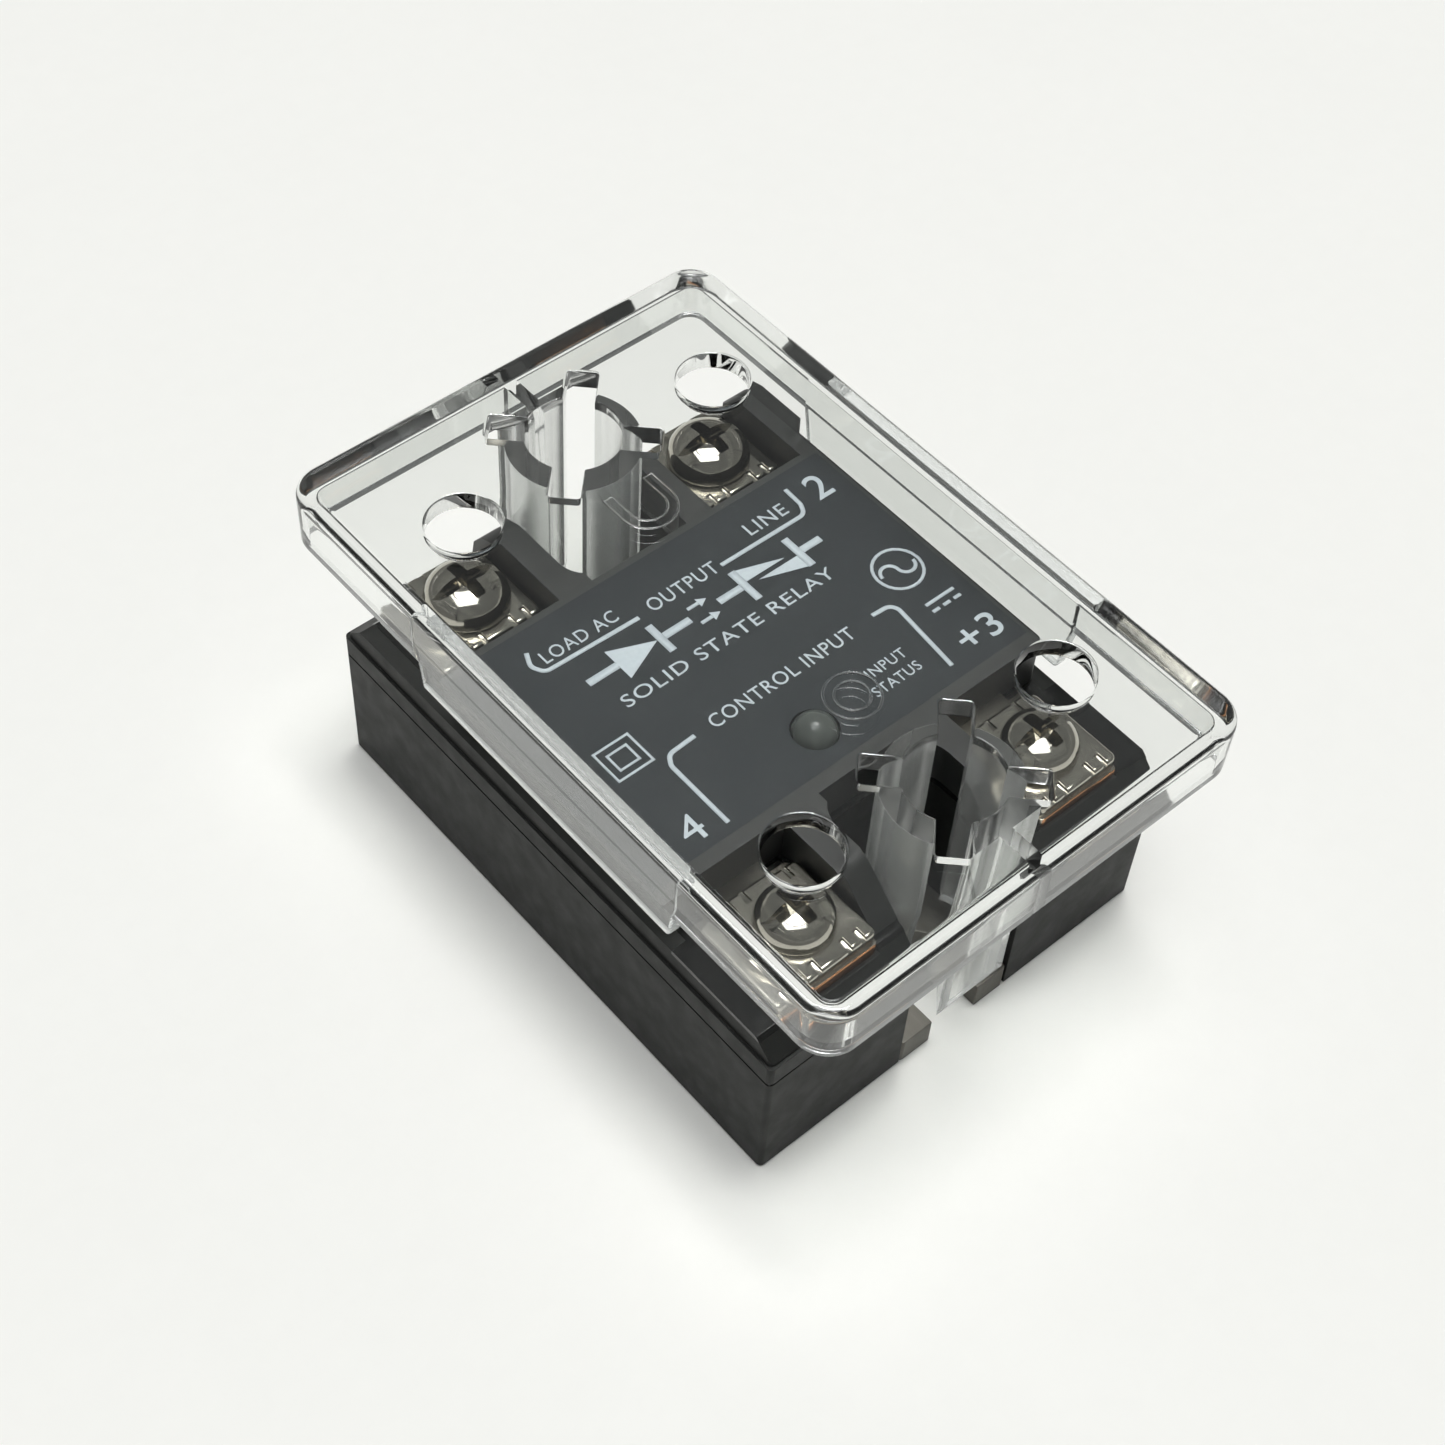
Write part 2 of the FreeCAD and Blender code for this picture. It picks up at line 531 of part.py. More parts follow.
def potting_resin(inner_parts):
    """Resin that fills the housing from the base plate to just over the control board."""
    block = box(-CAVITY_X, CAVITY_X, -CAVITY_Y, CAVITY_Y, PLATE_THICKNESS, BOARD_TOP + RESIN_ABOVE_BOARD)
    tools = []
    for end in (-1, 1):
        wall_space = NOTCH_HALF_WIDTH + WALL
        tools.append(box(-wall_space, wall_space, end * (NOTCH_END - WALL), end * HALF_L, 0, 30))
    for number in TERMINALS:
        x, y = terminal_place(number)
        tools.append(rod(BOSS_RADIUS, BOSS_BOTTOM, DECK_HEIGHT, x, y))
    return cut(block, tools + inner_parts)


def main():
    parts = {"base_plate": base_plate(), "housing": housing(), "cover": cover()}
    for number in TERMINALS:
        parts["terminal_%d" % number] = terminal(number)
        parts["wire_clamp_%d" % number] = clamp(number)
        parts["terminal_screw_%d" % number] = screw(number)
    inner = {
        "ceramic_substrate": ceramic_substrate(),
        "substrate_pads": substrate_pads(),
        "thyristor_chip_left": thyristor_chip(-1),
        "thyristor_chip_right": thyristor_chip(1),
        "chip_strap_left": chip_strap(-1),
        "chip_strap_right": chip_strap(1),
        "gate_pins": gate_pins(),
        "control_board": control_board(),
        "optocoupler": optocoupler(),
        "film_capacitor": film_capacitor(),
        "snubber_resistor": axial_resistor(-11.6, 6.2, 1.6, 6.6),
        "gate_resistor": axial_resistor(-11.6, 1.6, 1.0, 4.4),
        "input_resistor": axial_resistor(8.0, -9.0, 1.2, 6.0),
        "input_transistor": input_transistor(),
        "led_leads": led_leads(),
    }
    buried = list(inner.values()) + [parts["terminal_%d" % number] for number in TERMINALS]
    parts.update(inner)
    parts["status_led"] = status_led()
    parts["potting_resin"] = potting_resin(buried)
    os.makedirs("parts", exist_ok=True)
    for name, shape in parts.items():
        shape.exportStep("parts/%s.step" % name)
        print(name, len(shape.Solids), round(shape.Volume, 2), shape.isValid())


main()
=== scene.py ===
import math

import bmesh
import bpy
from mathutils import Matrix, Vector


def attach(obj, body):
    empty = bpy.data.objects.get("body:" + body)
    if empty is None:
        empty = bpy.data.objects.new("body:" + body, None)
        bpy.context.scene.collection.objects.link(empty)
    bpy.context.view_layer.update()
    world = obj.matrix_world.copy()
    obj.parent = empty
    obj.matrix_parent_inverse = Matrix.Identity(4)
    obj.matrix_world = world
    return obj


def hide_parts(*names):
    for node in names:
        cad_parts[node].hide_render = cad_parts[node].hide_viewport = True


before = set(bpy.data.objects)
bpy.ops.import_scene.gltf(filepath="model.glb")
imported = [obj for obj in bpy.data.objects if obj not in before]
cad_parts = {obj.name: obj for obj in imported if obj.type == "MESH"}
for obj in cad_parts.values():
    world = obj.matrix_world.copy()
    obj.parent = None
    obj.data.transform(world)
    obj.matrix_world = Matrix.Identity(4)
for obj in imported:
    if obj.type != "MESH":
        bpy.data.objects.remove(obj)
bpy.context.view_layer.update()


# Base plate. A flat plate, stamped from rolled aluminium, that carries the heat into the panel.
# It is bonded under the housing, and only its two slotted tabs show in the notches.

def linear(hex_colour):
    """An sRGB hex colour as linear RGBA."""
    channels = [int(hex_colour[i:i + 2], 16) / 255 for i in (1, 3, 5)]
    return [c / 12.92 if c <= 0.04045 else ((c + 0.055) / 1.055) ** 2.4 for c in channels] + [1.0]


def add(tree, kind, settings=None, values=None, links=None):
    """Adds one node with its settings, its socket values and its incoming links."""
    node = tree.nodes.new(kind)
    for name, value in (settings or {}).items():
        setattr(node, name, value)
    for name, value in (values or {}).items():
        node.inputs[name].default_value = value
    for name, source in (links or {}).items():
        tree.links.new(source, node.inputs[name])
    return node


def per_mm(size_mm):
    """Pattern scale, in repeats per metre, for a feature of this size."""
    return 1000.0 / size_mm


def surface(name, dark, light, grain_mm, rough, bump_mm=0.0, stretch=(1, 1, 1), shader=None):
    """A material whose colour, roughness and height vary with grain of a real size."""
    material = bpy.data.materials.new(name)
    material.use_nodes = True
    tree = material.node_tree
    tree.nodes.clear()
    place = add(tree, "ShaderNodeTexCoord", {"name": "place"})
    drawn_out = add(tree, "ShaderNodeMapping", values={"Scale": stretch},
                    links={"Vector": place.outputs["Object"]})
    grain = add(tree, "ShaderNodeTexNoise", values={"Scale": per_mm(grain_mm), "Detail": 4.0, "Roughness": 0.6},
                links={"Vector": drawn_out.outputs["Vector"]})
    colour = add(tree, "ShaderNodeMix", {"data_type": "RGBA", "name": "colour"},
                 {6: linear(dark), 7: linear(light)}, {"Factor": grain.outputs["Fac"]})
    patches = add(tree, "ShaderNodeTexNoise", values={"Scale": per_mm(grain_mm * 9), "Detail": 3.0},
                  links={"Vector": drawn_out.outputs["Vector"]})
    gloss = add(tree, "ShaderNodeMapRange", {"name": "gloss"},
                {"From Min": 0.3, "From Max": 0.7, "To Min": rough[0], "To Max": rough[1]},
                {"Value": patches.outputs["Fac"]})
    body = add(tree, "ShaderNodeBsdfPrincipled", {"name": "body"}, shader,
               {"Base Color": colour.outputs[2], "Roughness": gloss.outputs["Result"]})
    if bump_mm:
        height = add(tree, "ShaderNodeBump", {"name": "height"}, {"Strength": 1.0, "Distance": bump_mm / 1000},
                     {"Height": grain.outputs["Fac"]})
        tree.links.new(height.outputs["Normal"], body.inputs["Normal"])
    add(tree, "ShaderNodeOutputMaterial", links={"Surface": body.outputs["BSDF"]})
    return material


SHARP_ANGLE = math.radians(38)


def smooth_piece(name, bm, material):
    """Turns a bmesh into a piece that shades smooth except across its sharp edges."""
    for face in bm.faces:
        face.smooth = True
    for edge in bm.edges:
        edge.smooth = len(edge.link_faces) == 2 and edge.calc_face_angle(0) < SHARP_ANGLE
    mesh = bpy.data.meshes.new(name)
    bm.to_mesh(mesh)
    bm.free()
    mesh.materials.clear()
    mesh.materials.append(material)
    piece = bpy.data.objects.new(name, mesh)
    bpy.context.scene.collection.objects.link(piece)
    flat = piece.modifiers.new("flat faces stay flat", "WEIGHTED_NORMAL")
    flat.keep_sharp = True
    return piece


def eased_copy(node, name, ease_mm, material, keep=lambda middle: True):
    """A merged copy of a CAD node with its sharp edges rounded off by a small amount."""
    bm = bmesh.new()
    bm.from_mesh(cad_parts[node].data)
    bmesh.ops.remove_doubles(bm, verts=bm.verts, dist=1e-6)
    bmesh.ops.dissolve_limit(bm, angle_limit=math.radians(0.5), verts=bm.verts, edges=bm.edges)
    sharp = [e for e in bm.edges if len(e.link_faces) == 2
             and e.calc_face_angle(0) > SHARP_ANGLE
             and keep((e.verts[0].co + e.verts[1].co) / 2 * 1000)]
    if ease_mm:
        bmesh.ops.bevel(bm, geom=sharp, offset=ease_mm / 1000, offset_type="OFFSET", segments=2,
                        profile=0.5, affect="EDGES", clamp_overlap=True)
    return smooth_piece(name, bm, material)


# Rolled aluminium: dull and grey, with fine streaks along the rolling direction.
rolled_aluminium = surface("rolled_aluminium", "#5C5A55", "#706E68", 0.5, (0.38, 0.55), 0.012,
                           stretch=(1, 0.12, 1), shader={"Metallic": 1.0})
base = eased_copy("base_plate", "base_plate_stamped", 0.15, rolled_aluminium)
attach(base, "relay_body")
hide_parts("base_plate")


# Power section. A ceramic tile on the base plate carries copper pads, two switching chips and
# their straps. It is soldered together and ends up under the resin.

def dress(material, *nodes):
    """Gives CAD nodes whose shape is right their real finish."""
    for node in nodes:
        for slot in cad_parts[node].material_slots:
            slot.material = material


# Fired alumina: white, matt and slightly speckled.
dress(surface("fired_alumina", "#DDDBD4", "#EAE8E2", 0.12, (0.5, 0.65), 0.004), "ceramic_substrate")
# Bare copper: bright where it was etched, with a brown bloom in patches.
dress(surface("bare_copper", "#A05F3E", "#C98A63", 0.8, (0.25, 0.42), 0.006, shader={"Metallic": 1.0}),
      "substrate_pads", "chip_strap_left", "chip_strap_right")
# Lapped silicon: dark, blue-grey and nearly a mirror.
dress(surface("lapped_silicon", "#3A3D47", "#484C58", 1.5, (0.08, 0.15), shader={"Metallic": 0.7}),
      "thyristor_chip_left", "thyristor_chip_right")
# Tinned wire: pale and soft-looking, drawn lengthwise.
dress(surface("tinned_wire", "#9C9C9A", "#B9B9B5", 0.3, (0.28, 0.4), 0.005, stretch=(1, 1, 0.1),
              shader={"Metallic": 1.0}), "gate_pins", "led_leads")


# Control board. A glass-epoxy board holds the optocoupler and the small parts that drive the
# gates. They are soldered by hand-sized leads and half drowned in the resin.

# Solder-masked glass epoxy: green, with the weave of the cloth just showing through.
dress(surface("solder_masked_laminate", "#1F5A33", "#2C6E41", 0.4, (0.3, 0.42), 0.01), "control_board")
# Transfer-moulded epoxy: black and matt, with a fine sparkle of filler.
dress(surface("moulded_epoxy", "#161616", "#232323", 0.08, (0.45, 0.6), 0.006), "optocoupler", "input_transistor")
# Potted box capacitor: ochre PBT with a satin face.
dress(surface("ochre_pbt_box", "#A98B2F", "#B9993A", 0.6, (0.35, 0.45), 0.006), "film_capacitor")
# Resistor lacquer: tan, thick and slightly orange-peeled.
dress(surface("resistor_lacquer", "#A58B5E", "#BBA276", 0.5, (0.25, 0.4), 0.02),
      "snubber_resistor", "gate_resistor", "input_resistor")


# Resin. Dark epoxy that fills the housing round the power section and the board. It is poured in
# as a liquid and cured, to seal them and to carry their heat.

# Cast epoxy: dark grey, glossy where it levelled, with a slow ripple.
dress(surface("cast_epoxy", "#1B1C1C", "#2A2B2B", 2.0, (0.15, 0.3), 0.03), "potting_resin")


# Housing. One black moulding in glass-filled PBT, open below, with a raised label platform,
# walls beside the terminals and a notch at each end. Its sides have a fine spark texture.
PARTING_HEIGHT = 13.4
DECK_HEIGHT = 18.0
POLISHED_HALF_WIDTH = 20.4
POLISHED_CORNER_Y = -16.1
PAST_THE_SIDE = 30.0
DRY_SHINE = 0.2
POLISHED_SHINE = 0.5

# Glass-filled PBT: charcoal and dry on the textured sides, black and shiny on the polished deck
# and its front corners, and satin above the deck.
moulded_pbt = surface("glass_filled_pbt", "#181918", "#20211F", 0.22, (0.46, 0.58), 0.010,
                      shader={"IOR": 1.54, "Specular IOR Level": DRY_SHINE})
tree = moulded_pbt.node_tree
axes = add(tree, "ShaderNodeSeparateXYZ", links={"Vector": tree.nodes["place"].outputs["Object"]})
across = add(tree, "ShaderNodeMath", {"operation": "ABSOLUTE"}, links={0: axes.outputs["X"]})
polish_limit = add(tree, "ShaderNodeMapRange", values={
    "From Min": (POLISHED_CORNER_Y - 0.1) / 1000, "From Max": (POLISHED_CORNER_Y + 0.1) / 1000,
    "To Min": PAST_THE_SIDE / 1000, "To Max": POLISHED_HALF_WIDTH / 1000}, links={"Value": axes.outputs["Y"]})
inboard = add(tree, "ShaderNodeMath", {"operation": "LESS_THAN"},
              links={0: across.outputs[0], 1: polish_limit.outputs["Result"]})
at_deck = add(tree, "ShaderNodeMath", {"operation": "GREATER_THAN"}, {1: (DECK_HEIGHT - 0.4) / 1000},
              {0: axes.outputs["Z"]})
polished = add(tree, "ShaderNodeMath", {"operation": "MULTIPLY"},
               links={0: at_deck.outputs[0], 1: inboard.outputs[0]})
above_deck = add(tree, "ShaderNodeMath", {"operation": "GREATER_THAN"}, {1: (DECK_HEIGHT + 0.3) / 1000},
                 {0: axes.outputs["Z"]})
skin, dryness = tree.nodes["colour"].outputs[2], tree.nodes["gloss"].outputs["Result"]
for zone, zone_colour, zone_roughness in ((polished, "#0E0F0E", 0.22), (above_deck, "#212221", 0.42)):
    tone = add(tree, "ShaderNodeMix", {"data_type": "RGBA"}, {7: linear(zone_colour)},
               {"Factor": zone.outputs[0], 6: skin})
    finish = add(tree, "ShaderNodeMix", {"data_type": "FLOAT"}, {3: zone_roughness},
                 {"Factor": zone.outputs[0], 2: dryness})
    skin, dryness = tone.outputs[2], finish.outputs[0]
tree.links.new(skin, tree.nodes["body"].inputs["Base Color"])
tree.links.new(dryness, tree.nodes["body"].inputs["Roughness"])
shine = add(tree, "ShaderNodeMapRange", values={"To Min": DRY_SHINE, "To Max": POLISHED_SHINE},
            links={"Value": polished.outputs[0]})
tree.links.new(shine.outputs["Result"], tree.nodes["body"].inputs["Specular IOR Level"])
textured = add(tree, "ShaderNodeMath", {"operation": "SUBTRACT"}, {0: 1.0}, {1: polished.outputs[0]})
tree.links.new(textured.outputs[0], tree.nodes["height"].inputs["Strength"])

# The fine mould line round the sides keeps its sharp edges.
housing = eased_copy("housing", "housing_moulding", 0.22, moulded_pbt,
                     keep=lambda p: not (PARTING_HEIGHT - 0.1 < p.z < PARTING_HEIGHT + 0.4))
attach(housing, "relay_body")
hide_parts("housing")


# Label. The top of the platform is printed in one charcoal coat, which stops short of the lamp,
# then with pale grey signs: terminal numbers, plain words and circuit symbols. Both are
# silk-screened.
LABEL_HEIGHT = 22.7
LABEL_BACK = 13.9
LABEL_FRONT = -13.2
LABEL_HALF_WIDTH = 20.1
COAT_THICKNESS = 0.012
INK_HEIGHT = LABEL_HEIGHT + 0.02
INK_THICKNESS = 0.02
LAMP_X = -1.2
LAMP_Y = -9.6
LAMP_HOLE_RADIUS = 2.15


def solid(name, shape):
    """An object at the origin from a bmesh, a mesh or a curve."""
    if isinstance(shape, bmesh.types.BMesh):
        mesh = bpy.data.meshes.new(name)
        shape.to_mesh(mesh)
        shape.free()
        shape = mesh
    made = bpy.data.objects.new(name, shape)
    bpy.context.scene.collection.objects.link(made)
    return made


def prism(outline, x0, x1, ease_mm=0.15):
    """A solid along X from (y, z) points, with its edges eased."""
    bm = bmesh.new()
    near = [bm.verts.new((x0 / 1000, y / 1000, z / 1000)) for y, z in outline]
    far = [bm.verts.new((x1 / 1000, y / 1000, z / 1000)) for y, z in outline]
    bm.faces.new(near)
    bm.faces.new(list(reversed(far)))
    for k in range(len(near)):
        m = (k + 1) % len(near)
        bm.faces.new((near[k], far[k], far[m], near[m]))
    bmesh.ops.recalc_face_normals(bm, faces=bm.faces)
    if ease_mm:
        bmesh.ops.bevel(bm, geom=list(bm.edges), offset=ease_mm / 1000, segments=3, profile=0.5,
                        affect="EDGES", clamp_overlap=True)
    return bm


def stack(half_x, half_y, corner, levels, x=0.0, y=0.0, turn=0.0, steps=12):
    """A closed solid with a rounded outline; each level is its height and how far it grows."""
    bm = bmesh.new()
    place = Matrix.Translation((x, y, 0)) @ Matrix.Rotation(math.radians(turn), 4, "Z")
    rings = []
    for height, grow in levels:
        radius = max(corner + grow, 0.02)
        ring = []
        for quarter, (sx, sy) in enumerate(((1, 1), (-1, 1), (-1, -1), (1, -1))):
            cx = sx * (half_x + grow - radius)
            cy = sy * (half_y + grow - radius)
            for k in range(steps + 1):
                angle = math.radians(90 * quarter + 90 * k / steps)
                point = Vector((cx + radius * math.cos(angle), cy + radius * math.sin(angle), height))
                ring.append(bm.verts.new(place @ point / 1000))
        rings.append(ring)
    for low, high in zip(rings, rings[1:]):
        for k in range(len(low)):
            m = (k + 1) % len(low)
            bm.faces.new((low[k], low[m], high[m], high[k]))
    bm.faces.new(list(reversed(rings[0])))
    bm.faces.new(rings[-1])
    bmesh.ops.remove_doubles(bm, verts=bm.verts, dist=1e-7)
    bmesh.ops.recalc_face_normals(bm, faces=bm.faces)
    return bm


def plain_mesh(holder):
    """The finished mesh of an object, which is then removed."""
    bpy.context.view_layer.update()
    mesh = bpy.data.meshes.new_from_object(holder.evaluated_get(bpy.context.evaluated_depsgraph_get()))
    bpy.data.objects.remove(holder)
    return mesh


def combine(first, others, operation, name="result"):
    """Joins or cuts solids one after another and returns the result as a new object."""
    for other in others:
        step = first.modifiers.new("step", "BOOLEAN")
        step.operation = operation
        step.solver = "EXACT"
        step.object = other
    mesh = plain_mesh(first)
    for used in others:
        bpy.data.objects.remove(used)
    return solid(name, mesh)


# Screen-printed coat: even, dry charcoal with a very fine tooth.
printed_coat = surface("printed_charcoal_coat", "#202427", "#262A2D", 0.3, (0.42, 0.5), 0.003,
                       shader={"Specular IOR Level": 0.25})
coat_section = [(LABEL_FRONT, LABEL_HEIGHT - 0.1), (LABEL_BACK, LABEL_HEIGHT - 0.1),
                (LABEL_BACK, LABEL_HEIGHT + COAT_THICKNESS), (LABEL_FRONT, LABEL_HEIGHT + COAT_THICKNESS)]
sheet_of_ink = solid("sheet_of_ink", prism(coat_section, -LABEL_HALF_WIDTH, LABEL_HALF_WIDTH, 0))
lamp_hole = solid("lamp_hole", stack(LAMP_HOLE_RADIUS, LAMP_HOLE_RADIUS, LAMP_HOLE_RADIUS,
                                     [(LABEL_HEIGHT - 0.7, 0), (LABEL_HEIGHT + 1.3, 0)], LAMP_X, LAMP_Y))
coat = combine(sheet_of_ink, [lamp_hole], "DIFFERENCE", "label_coat")
coat.data.materials.clear()
coat.data.materials.append(printed_coat)
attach(coat, "relay_body")


def shape_tree(name, given, inputs, made):
    """A Geometry Nodes tree with named inputs; returns it, their identifiers and its input node."""
    tree = bpy.data.node_groups.new(name, "GeometryNodeTree")
    tree.interface.new_socket(given, in_out="INPUT", socket_type="NodeSocketGeometry")
    sockets = {label: tree.interface.new_socket(label, in_out="INPUT", socket_type=f"NodeSocket{kind}").identifier
               for label, kind in inputs.items()}
    tree.interface.new_socket(made, in_out="OUTPUT", socket_type="NodeSocketGeometry")
    return tree, sockets, add(tree, "NodeGroupInput")


def end_tree(tree, shape, material, made):
    """Ends a Geometry Nodes tree with real geometry in its material."""
    real = add(tree, "GeometryNodeRealizeInstances", links={"Geometry": shape})
    dressed = add(tree, "GeometryNodeSetMaterial",
                  links={"Geometry": real.outputs["Geometry"], "Material": material})
    add(tree, "NodeGroupOutput", links={made: dressed.outputs["Geometry"]})


def run_tree(holder, tree, sockets, values):
    """Runs a Geometry Nodes tree on an object and gives the result as a plain mesh."""
    maker = holder.modifiers.new(tree.name, "NODES")
    maker.node_group = tree
    for label, value in values.items():
        maker[sockets[label]] = value
    return plain_mesh(holder)


def path_object(paths, height_mm, closed):
    """A curve object along paths of (x, y) points in millimetres, all at one height."""
    curve = bpy.data.curves.new("path", "CURVE")
    curve.dimensions = "3D"
    for path in paths:
        spline = curve.splines.new("POLY")
        spline.points.add(len(path) - 1)
        for point, (x, y) in zip(spline.points, path):
            point.co = (x / 1000, y / 1000, height_mm / 1000, 1)
        spline.use_cyclic_u = closed
    holder = bpy.data.objects.new("path", curve)
    bpy.context.scene.collection.objects.link(holder)
    return holder


# Pale screen ink: cool light grey, slightly uneven where the mesh let less through.
printed_ink = surface("pale_screen_ink", "#A3ABB2", "#BAC2C8", 0.35, (0.45, 0.6), 0.004)

line_tree, line_sockets, start = shape_tree(
    "printed_line", "Path", {"Line Width": "Float", "Bend Radius": "Float", "Ink": "Material"}, "Print")
bent = add(line_tree, "GeometryNodeFilletCurve", {"mode": "POLY"}, {"Count": 8},
           {"Curve": start.outputs["Path"], "Radius": start.outputs["Bend Radius"]})
upright = add(line_tree, "GeometryNodeSetCurveNormal", {"mode": "Z_UP"}, links={"Curve": bent.outputs["Curve"]})
section = add(line_tree, "GeometryNodeCurvePrimitiveQuadrilateral", values={"Height": INK_THICKNESS / 1000},
              links={"Width": start.outputs["Line Width"]})
ribbon = add(line_tree, "GeometryNodeCurveToMesh", values={"Fill Caps": True},
             links={"Curve": upright.outputs["Curve"], "Profile Curve": section.outputs["Curve"]})
end_tree(line_tree, ribbon.outputs["Mesh"], start.outputs["Ink"], "Print")


def drawn_lines(paths, width_mm, bend_mm=0.0, closed=False):
    """Printed lines along paths of (x, y) points in millimetres."""
    return run_tree(path_object(paths, INK_HEIGHT, closed), line_tree, line_sockets,
                    {"Line Width": width_mm / 1000, "Bend Radius": bend_mm / 1000, "Ink": printed_ink})


def filled(outlines):
    """Solid printed shapes from outlines of (x, y) points in millimetres."""
    bm = bmesh.new()
    for outline in outlines:
        rings = [[bm.verts.new((x / 1000, y / 1000, (INK_HEIGHT + z) / 1000)) for x, y in outline]
                 for z in (-INK_THICKNESS / 2, INK_THICKNESS / 2)]
        bm.faces.new(rings[0])
        bm.faces.new(rings[1])
        for k in range(len(outline)):
            m = (k + 1) % len(outline)
            bm.faces.new((rings[0][k], rings[0][m], rings[1][m], rings[1][k]))
    bmesh.ops.recalc_face_normals(bm, faces=bm.faces)
    mesh = bpy.data.meshes.new("filled")
    bm.to_mesh(mesh)
    bm.free()
    return mesh


def words(text, width_mm, height_mm, x, y, weight=0.0):
    """Printed words of a real width and height, centred on a point of the label."""
    curve = bpy.data.curves.new("words", "FONT")
    curve.body = text
    curve.size = height_mm
    curve.offset = weight
    curve.space_character = 1.1
    curve.extrude = INK_THICKNESS / 2
    curve.resolution_u = 4
    mesh = plain_mesh(solid("words", curve))
    low, high = (Vector([pick(v.co[k] for v in mesh.vertices) for k in range(3)]) for pick in (min, max))
    fit = Matrix.Diagonal((width_mm / (high.x - low.x), height_mm / (high.y - low.y), 1, 1))
    mesh.transform(Matrix.Scale(0.001, 4) @ Matrix.Translation((x, y, INK_HEIGHT)) @ fit
                   @ Matrix.Translation(-(low + high) / 2))
    return mesh


def joined(name, meshes, material):
    """One piece from several meshes."""
    bm = bmesh.new()
    for mesh in meshes:
        bm.from_mesh(mesh)
    for face in bm.faces:
        face.material_index = 0
    piece = solid(name, bm)
    piece.data.materials.append(material)
    return piece


def arc(x, y, radius, start, end, steps=24):
    """Points along an arc, in millimetres, with its angles in degrees."""
    angles = [math.radians(start + (end - start) * k / steps) for k in range(steps + 1)]
    return [(x + radius * math.cos(a), y + radius * math.sin(a)) for a in angles]


brackets = drawn_lines([
    [(-14.8, 11.7), (-15.45, 10.3), (-14.8, 9.1), (-4.9, 8.8)],
    [(4.5, 8.95), (14.2, 8.9), (14.75, 10.0), (14.85, 12.2)],
    [(-9.4, -3.85), (-12.3, -4.0), (-12.9, -5.0), (-12.95, -12.2)],
    [(10.9, -3.5), (12.8, -3.6), (13.2, -4.4), (12.45, -11.8)]], 0.42, 0.9)
thyristor_lines = drawn_lines([
    [(-12.8, 5.9), (-9.62, 5.9)], [(-4.9, 7.6), (-4.9, 4.2)], [(-4.5, 5.9), (-1.6, 5.9)],
    [(1.6, 5.9), (4.2, 5.9)], [(11.2, 5.9), (13.4, 5.9)], [(4.6, 7.8), (4.6, 4.0)],
    [(10.8, 7.8), (10.8, 4.0)]], 0.75)
triangles = filled([
    [(-9.6, 7.7), (-9.6, 4.1), (-5.3, 5.9)],
    [(5.0, 7.7), (5.0, 6.15), (9.4, 6.15)], [(10.4, 5.65), (10.4, 4.1), (6.0, 5.65)],
    [(0.12, 7.4), (0.12, 6.4), (1.0, 6.9)], [(0.12, 5.5), (0.12, 4.5), (1.0, 5.0)]])
arrow_shafts = drawn_lines([[(-1.1, 6.9), (0.1, 6.9)], [(-1.1, 5.0), (0.1, 5.0)]], 0.35)
sine = drawn_lines([arc(15.4, -1.0, 0.9, 180, 0) + arc(17.2, -1.0, 0.9, 180, 360)[1:]], 0.34)
ring = drawn_lines([arc(16.3, -1.0, 2.3, 0, 352)], 0.3, closed=True)
direct_current = drawn_lines([
    [(15.3, -5.6), (18.6, -5.6)], [(15.3, -6.5), (16.1, -6.5)],
    [(16.55, -6.5), (17.35, -6.5)], [(17.8, -6.5), (18.6, -6.5)]], 0.34)
box_sign = drawn_lines([
    [(-17.2, -0.2), (-17.2, -3.6), (-13.6, -3.6), (-13.6, -0.2)],
    [(-16.4, -1.0), (-16.4, -2.8), (-14.4, -2.8), (-14.4, -1.0)]], 0.32, closed=True)
label_print = joined("label_print", [
    brackets, thyristor_lines, triangles, arrow_shafts, sine, ring, direct_current, box_sign,
    words("LOAD AC", 7.9, 1.35, -10.2, 10.35), words("OUTPUT", 7.6, 1.45, 0.3, 9.2),
    words("LINE", 4.5, 1.4, 11.1, 10.6), words("SOLID STATE RELAY", 23.4, 1.35, -0.1, 2.45),
    words("CONTROL INPUT", 15.9, 1.4, 0.4, -3.7),
    words("INPUT", 4.3, 1.05, 8.2, -8.1), words("STATUS", 5.2, 1.05, 7.8, -9.9),
    words("2", 1.9, 2.9, 17.4, 10.7, 0.02), words("+3", 4.3, 2.7, 16.9, -10.5, 0.02),
    words("4", 2.0, 2.7, -15.7, -10.8),
], printed_ink)
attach(label_print, "relay_body")


# Status lamp. A round lamp cast in clear epoxy, pushed up through the platform from inside, so
# that its dome stands just above the label. Its two legs are soldered to the board.

# Cast clear epoxy: smoky grey against the black inside, with one sharp highlight.
lamp_epoxy = surface("clear_lamp_epoxy", "#535754", "#5D615E", 1.2, (0.06, 0.14),
                     shader={"Transmission Weight": 0.3, "IOR": 1.53})
lamp = eased_copy("status_led", "status_lamp", 0.0, lamp_epoxy)
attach(lamp, "relay_body")
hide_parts("status_led")


# Terminals. Copper plates, stamped and nickel-plated before they were cropped to length, so that
# the outer edge shows raw copper. Each has a tapped hole and a leg that goes down inside.
TERMINAL_OUTER_EDGE = 26.6

